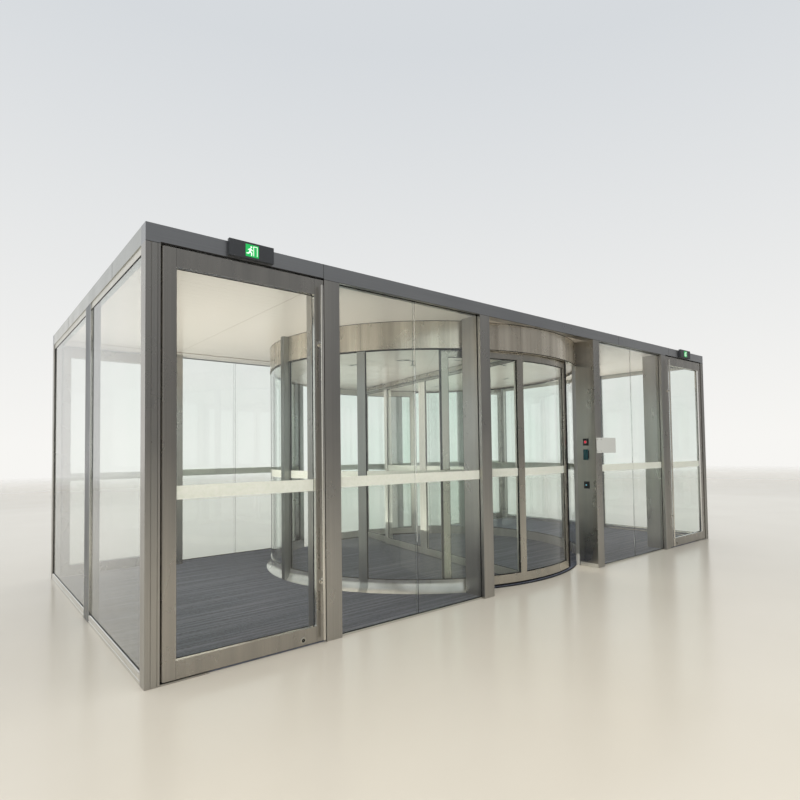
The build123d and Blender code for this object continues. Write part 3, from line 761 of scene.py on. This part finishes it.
def drum_seams():
    """Dark lines along the fascia's edges and seams and the base rails' butt joints, and the posts' feet."""
    low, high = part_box("drum_fascia")
    half_turn_steps, portal_edge, post_place = 64, 9.8, 31.4
    sheet_joints, base_joints = (-46.6, -31.1, -15.5, 0, 15.5, 31.1, 46.6), (-50.5, -38, -7, 7, 38, 50.5)
    faces = ((DRUM_OUTER, 1, high.z), (DRUM_INNER, -1, DRUM_LINING_TOP))
    edges, seams, feet = bmesh.new(), bmesh.new(), bmesh.new()
    for radius, facing, top in faces:
        wall = round_wall(radius, 0, facing)
        for start in (-math.pi, 0):
            span = (start * radius, (start + math.pi) * radius)
            slab(edges, wall, span, mm(-1, 0.6), (low.z, low.z + 8 * MM), half_turn_steps)
            slab(edges, wall, span, mm(-1, 0.6), (top - 5 * MM, top), half_turn_steps)
    angles = [middle + turn for middle in (270, 90) for turn in (-portal_edge, portal_edge)]
    angles += [middle + turn for middle in (0, 180) for turn in sheet_joints]
    for angle in angles:
        for radius, facing, top in faces:
            wall = round_wall(radius, math.radians(angle), facing)
            slab(seams, wall, mm(-1, 1), mm(-1, 0.3), (low.z, top))
    for middle in (0, 180):
        for turn in base_joints:
            slab(seams, round_wall(DRUM_OUTER, math.radians(middle + turn)), mm(-1, 1), mm(-6, 0.5),
                 mm(90, 134))
    cove = [mm(w, z) for w, z in ((-3, 0), (51.5, 0), (51.5, 14), (33, 30), (19, 50), (9.7, 70), (4.3, 90),
                                  (2.5, 105), (2.5, 136), (-3, 136))]
    for angle in (180 - post_place, 180 + post_place, -post_place, post_place):
        strip(feet, round_wall(DRUM_OUTER, math.radians(angle)), mm(-45, 45), cove, 4)
    piece("drum_post_feet", feet, STEEL_DRUM_POSTS)
    piece("fascia_edge_lines", edges, SHADOW)
    piece("fascia_seams", seams, SHADOW)


def on_curved_panes(name, finish, draw):
    """A piece for each wall of the drum and each end panel of the rotor, drawn pane by pane."""
    low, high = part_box("drum_glass_left")
    for hand, middle in DRUM_WALLS:
        mesh = bmesh.new()
        for step in range(4):
            start = middle + (step - 2) * DRUM_BAY + DRUM_POST
            draw(mesh, DRUM_GLASS, 0, (start, start + DRUM_BAY - 2 * DRUM_POST), (low.z, high.z))
        piece(f"{name.format('drum')}_{hand}", mesh, finish)
    low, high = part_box("curved_glass_front")
    for end, middle in END_PANELS:
        mesh = bmesh.new()
        for pane in ((-PANEL_HALF + PANEL_STILE, -PANEL_MULLION),
                     (PANEL_MULLION, PANEL_HALF - PANEL_STILE)):
            draw(mesh, PANEL_MIDDLE, middle + WING_TURN, pane, (low.z, high.z))
        piece(f"{name.format('panel')}_{end}", mesh, finish, "rotor")


def curved_gaskets():
    """Black gaskets along the curved panes of the drum and of the rotor's end panels."""
    section = gasket_section(9, 6 * MM)

    def draw(mesh, radius, middle, pane, heights):
        for facing in (-1, 1):
            span = (pane[0] * radius, pane[1] * radius)
            ring(mesh, round_wall(radius, middle, facing), span, heights, section, PANE_STEPS)

    on_curved_panes("{}_gaskets", RUBBER, draw)


def round_bands():
    """Frosted bands on the curved panes of the drum's walls and of the rotor's end panels."""
    margin = 0.003

    def draw(mesh, radius, middle, pane, heights):
        span = ((pane[0] + margin) * radius, (pane[1] - margin) * radius)
        slab(mesh, round_wall(radius, middle), span, FILM, BAND_ON_BAYS, PANE_STEPS)

    on_curved_panes("frosted_bands_{}", FILM_WHITE, draw)


def brush_bristles():
    """Tufts on both faces of the floor brushes. A bristle is 0.2 mm thick, and a bar is a tuft of them."""
    low, height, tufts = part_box("rotor_seals")[0], 18.5 * MM, 360
    tree = arc_tree("bristle_tufts", BRISTLE)
    for end, middle in END_PANELS:
        for face, radius in (("outer", PANEL_MIDDLE + 7 * MM), ("inner", PANEL_MIDDLE - 7 * MM)):
            grow(f"brush_bristles_{end}_{face}", tree, "seal_rubber", "rotor", Count=tufts, Radius=radius,
                 Start=middle + WING_TURN - PANEL_HALF, Sweep=2 * PANEL_HALF,
                 Level=low.z + height / 2 + 0.2 * MM, Size=(1.5 * MM, 3.2 * MM, height))


def wing_gaskets():
    """Gaskets and a frosted band on each pane of the wing: two fixed screens and two sliding leaves."""
    along = Vector((-math.sin(WING_TURN), math.cos(WING_TURN), 0))
    across = Vector((math.cos(WING_TURN), math.sin(WING_TURN), 0))
    for where, body, spans, plane, glass in (
            ("screens", "rotor", SCREEN_SPANS, WING_PLANE, "wing_screen_glass"),
            ("front_leaf", "front_leaf", LEAF_SPANS[:1], -WING_PLANE, "sliding_glass_front"),
            ("rear_leaf", "rear_leaf", LEAF_SPANS[1:], -WING_PLANE, "sliding_glass_front")):
        low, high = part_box(glass)
        mesh, band = bmesh.new(), bmesh.new()
        for span in spans:
            for facing in (-1, 1):
                ring(mesh, flat(across * plane, along, across * facing), span, (low.z, high.z),
                     gasket_section(10))
            outer = flat(across * plane, along, across * math.copysign(1, plane))
            slab(band, outer, (span[0] + GASKET, span[1] - GASKET), FILM, BAND_ON_BAYS)
        piece(f"wing_gaskets_{where}", mesh, RUBBER, body)
        piece(f"wing_frosted_bands_{where}", band, FILM_WHITE, body)


# Floor


def floor_mats():
    """Ribs over the mats of the vestibule and of the drum, and a black edge where the drum's mat ends."""
    outside = line_to_circle_tree("mat_ribs_round_the_drum", MAT, True)
    inside = line_to_circle_tree("mat_ribs_in_the_drum", MAT, False)
    low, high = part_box("vestibule_mat_left")
    foot = -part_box("drum_base_left")[0].x
    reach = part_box("drum_mat")[1].x
    radius = reach - 4 * MM
    front_margin, portal_share = 0.125, 0.44
    common = {"Spacing": RIB_SPACING, "Width": RIB_WIDTH, "Height": RIB_HEIGHT,
              "Level": high.z - 0.3 * MM + RIB_HEIGHT / 2}
    for hand, side in HANDS:
        grow(f"mat_ribs_{hand}", outside, "entrance_mat", **common, Side=float(side), Circle=foot + 4 * MM,
             Count=int(2 * (HALF_DEPTH - front_margin) / RIB_SPACING), Near=COLUMN_OUTER + 4 * MM,
             Far=-low.x - 4 * MM)
        grow(f"drum_mat_ribs_{hand}", inside, "entrance_mat", **common, Side=float(side), Circle=radius,
             Count=int(2 * radius / RIB_SPACING), Near=0.0, Far=0.0)
    edge = bmesh.new()
    for _, middle in END_PANELS:
        slab(edge, round_wall(reach, middle), about(0, portal_share * reach), mm(-6, 0.3),
             (0, high.z + 2 * MM), 24)
    piece("drum_mat_edge", edge, RUBBER)


def floor_spring_screws():
    """Screws in the cover plate of each floor spring."""
    tree = row_tree("cover_plate_screws", NICKEL, pan_head, Radius="Float", Rise="Float")
    plate_top, rise, first, pitch = 10 * MM, 2 * MM, 3.66, 0.24
    for name, (side, face) in CORNERS.items():
        for row, y in (("outer", 2.078), ("inner", 2.002)):
            grow(f"floor_spring_screws_{name}_{row}", tree, "brushed_steel", Count=2,
                 First=(side * first, face * y, plate_top + rise / 2 - 1 * MM), Step=(side * pitch, 0, 0),
                 Radius=5 * MM, Rise=rise)


# Signs, buttons and the plate


def limb(mesh, surface, start, end, width, span_w):
    """A straight limb with round ends in the plane of a sign."""
    a, b = Vector(start), Vector(end)
    run = (b - a).normalized()
    side = Vector((-run.y, run.x))
    points = []
    for centre, way in ((a, -1), (b, 1)):
        for k in range(7):
            turn = math.pi * k / 6
            points.append(centre + (run * math.sin(turn) - side * math.cos(turn)) * way * width / 2)
    skin(mesh, [[surface(p.x, w, p.y) for p in points] for w in span_w])


def exit_signs():
    """Green way-out panels with a plain running figure beside a doorway."""
    hip, knee = (-0.016, -0.006), (-0.004, -0.018)
    shoulder, rear_knee = (-0.012, 0.012), (-0.026, -0.020)
    limbs = ((shoulder, hip, 0.011), (hip, knee, 0.008), (knee, (-0.006, -0.032), 0.007),
             (hip, rear_knee, 0.008), (rear_knee, (-0.038, -0.021), 0.007),
             (shoulder, (-0.028, 0.006), 0.006), (shoulder, (0.002, 0.002), 0.006),
             ((-0.0072, 0.0262), (-0.0068, 0.0262), 0.012))
    doorway = ((mm(8, 12), mm(-34, 34)), (mm(12, 38), mm(30, 34)), (mm(34, 38), mm(-34, 30)))
    for hand, _ in HANDS:
        low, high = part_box(f"exit_sign_{hand}")
        face = along_x(low.y, -1, (low.x + high.x) / 2, (low.z + high.z) / 2)
        panel, figure = bmesh.new(), bmesh.new()
        slab(panel, face, mm(-47, 47), mm(-1, 1.2), mm(-43, 43))
        for width, height in doorway:
            slab(figure, face, width, mm(1, 1.8), height)
        for start, end, width in limbs:
            limb(figure, face, start, end, width, mm(1, 1.8))
        piece(f"sign_panel_{hand}", panel, SIGN_GREEN)
        piece(f"sign_figure_{hand}", figure, SIGN_WHITE)


def button_faces():
    """The faces of three devices in the portal's reveal: a push button, a key panel and a status light."""
    low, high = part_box("control_panels")
    x, y = low.x, (low.y + high.y) / 2
    button, panel, light = (x, y, 1.509), (x, y, 1.357), (x, y, 0.986)
    inwards = (-1, 0, 0)
    caps, lens, face, status = bmesh.new(), bmesh.new(), bmesh.new(), bmesh.new()
    turned(caps, button, inwards, [mm(20, -1), mm(20, 3), mm(17, 5), mm(15, 4)])
    turned(lens, button, inwards, [mm(14.5, 1), mm(14.5, 5), mm(10, 7)])
    turned(caps, light, inwards, [mm(11, -1), mm(11, 3), mm(9, 4), mm(7, 3)])
    turned(status, light, inwards, [mm(6.8, 1), mm(6.8, 3.5), mm(4, 4.5)])
    slab(face, flat(panel, (0, 1, 0), inwards), mm(-33, 33), mm(-1, 2.5), mm(-66, 62))
    piece("button_rims", caps, NICKEL)
    piece("button_lens", lens, BUTTON_LENS)
    piece("status_light", status, STATUS_LIGHT)
    piece("key_panel_face", face, BUTTON_PANEL, edge=1.5 * MM)


def notice_plate():
    """A bare acrylic plate across the right portal column and the glass beside it, on four spacers."""
    plate, spacers = bmesh.new(), bmesh.new()
    slab(plate, along_x(-HALF_DEPTH, -1), (0.930, 1.362), mm(4, 7), (1.373, 1.559))
    for z in (1.395, 1.537):
        for x in (0.952, 1.035):
            turned(spacers, (x, -HALF_DEPTH, z), (0, -1, 0), [mm(7, 0), mm(7, 7.5), mm(5, 9)], 20)
    piece("notice_plate", plate, PLATE, edge=1 * MM)
    piece("plate_spacers", spacers, NICKEL)


# Studio, light and camera


def studio_floor():
    """A plain pale floor, honed so that it mirrors softly. Far away it fades into the background."""
    finish, tree, shader, place = new_finish("honed_studio_floor", Roughness=0.2)
    distance = add(tree, "ShaderNodeVectorMath", {0: place}, "Value", operation="LENGTH")
    fade = {"Value": distance, "From Min": 12.0, "From Max": 45.0, "To Min": 1.0, "To Max": 0.0}
    cloud = mottle(tree, place, (1.6, 1.6, 1.6))
    wire(tree, shader, {"Alpha": add(tree, "ShaderNodeMapRange", fade),
                        "Base Color": blend(tree, cloud, linear("#e6dfd1"), linear("#dcd4c4"), FULL_RANGE)})
    mesh = bmesh.new()
    slab(mesh, flat((0, 0, 0), (1, 0, 0), (0, 1, 0)), (-60, 60), (-60, 60), mm(-50, -1))
    mesh_object("studio_floor", mesh, finish)


def studio_world():
    """Pale light from all round, and a dark screen before the front that only reflections see."""
    world = bpy.data.worlds.new("studio_light")
    world.use_nodes = True
    scene.world = world
    tree = world.node_tree
    direction = add(tree, "ShaderNodeTexCoord", out="Generated")
    height = add(tree, "ShaderNodeSeparateXYZ", {0: direction}, "Z")
    tone = blend(tree, height, linear("#f7f6f3"), linear("#d6dade"), {"From Min": 0.02, "From Max": 0.6})
    # Only mirrored light meets the screen, not light through glass, so the steel shows its grain
    facing = add(tree, "ShaderNodeVectorMath", {0: direction, 1: (0.15, -0.99, 0.0)}, "Value",
                 operation="DOT_PRODUCT")
    screen = {"Value": facing, "From Min": 0.25, "From Max": 0.6, "To Max": 0.82}
    fade = {"Value": height, "From Max": 0.4, "To Min": 1.0, "To Max": 0.7}
    share = add(tree, "ShaderNodeMath", {0: add(tree, "ShaderNodeMapRange", screen),
                                         1: add(tree, "ShaderNodeMapRange", fade)}, operation="MULTIPLY")
    glossy = add(tree, "ShaderNodeLightPath", out="Is Glossy Ray")
    passed = add(tree, "ShaderNodeLightPath", out="Is Transmission Ray")
    mirrored = add(tree, "ShaderNodeMath", {0: glossy, 1: passed}, operation="SUBTRACT", use_clamp=True)
    share = add(tree, "ShaderNodeMath", {0: share, 1: mirrored}, operation="MULTIPLY")
    # Light that has met a dull surface counts a little more than the background shows
    met = add(tree, "ShaderNodeLightPath", out="Diffuse Depth")
    strength = add(tree, "ShaderNodeMapRange", {"Value": met, "To Min": 1.0, "To Max": 1.25})
    wire(tree, tree.nodes["Background"], {
        "Color": blend(tree, share, tone, linear("#2b2d31"), FULL_RANGE), "Strength": strength})


def studio_lamps():
    """One large soft lamp, and lamps inside that reach under the ceilings."""
    warm, inner = "#fff4e4", "#fffaf0"
    lamps = [("soft_lamp", (-5.0, -7.5, 6.0), (0, 0, 1.2), (6.0, 4.0), 220, warm)]
    for hand, side in HANDS:
        x, size = side * 3.1, (1.5, 3.8)
        lamps.append((f"vestibule_uplight_{hand}", (x, 0, 0.35), (x, 0, 2), size, 76, inner))
        lamps.append((f"vestibule_downlight_{hand}", (x, 0, 2.6), (x, 0, 0), size, 34, inner))
    lamps.append(("drum_uplight", (0, 0, 0.35), (0, 0, 2), (2.6, 2.6), 75, inner))
    lamps.append(("drum_downlight", (0, 0, 2.38), (0, 0, 0), (2.6, 2.6), 40, inner))
    for name, place, target, size, power, colour in lamps:
        lamp = bpy.data.lights.new(name, "AREA")
        lamp.shape = "RECTANGLE"
        lamp.size, lamp.size_y = size
        lamp.energy = power
        lamp.color = linear(colour)[:3]
        made = new_object(name, lamp)
        made.location = place
        made.rotation_euler = (Vector(target) - Vector(place)).to_track_quat("-Z", "Y").to_euler()
        made.visible_transmission = made.visible_glossy = False


def photo_camera():
    """The photograph's view: its place, turn, tilt and roll were fitted to the edges of the unit."""
    place = Vector((-4.9099, -5.7637, 1.4067))
    turn, tilt, roll = math.radians(41.0386), math.radians(2.0501), math.radians(-0.8615)
    ahead = Vector((math.sin(turn) * math.cos(tilt), math.cos(turn) * math.cos(tilt), math.sin(tilt)))
    level = Vector((math.cos(turn), -math.sin(turn), 0))
    upward = level.cross(ahead)
    right = level * math.cos(roll) + upward * math.sin(roll)
    up = upward * math.cos(roll) - level * math.sin(roll)
    photo_size, focal, middle = 800, 547.550, (430.348, 433.161)
    data = bpy.data.cameras.new("photo_camera")
    data.sensor_width = 36
    data.lens = focal / photo_size * data.sensor_width
    data.shift_x = (photo_size / 2 - middle[0]) / photo_size
    data.shift_y = (middle[1] - photo_size / 2) / photo_size
    data.clip_end = 200
    scene.camera = new_object("photo_camera", data)
    scene.camera.matrix_world = Matrix.Translation(place) @ Matrix((right, up, -ahead)).transposed().to_4x4()


finish_construction()
door_glazing()
door_joints_and_sweeps()
door_locks()
pull_fittings()
fixed_bay_fittings()
side_walls()
header_joints()
portal_plinths()
ceiling_fittings()
drum_ceiling_fittings()
roof_fittings()
drum_seams()
curved_gaskets()
round_bands()
brush_bristles()
wing_gaskets()
floor_mats()
floor_spring_screws()
exit_signs()
button_faces()
notice_plate()
studio_floor()
studio_world()
studio_lamps()
photo_camera()

scene.view_settings.view_transform = "Standard"
# Light crosses up to five panes on its way in and as many on its way out
scene.cycles.max_bounces = 32
scene.cycles.transmission_bounces = 32
scene.cycles.transparent_max_bounces = 32
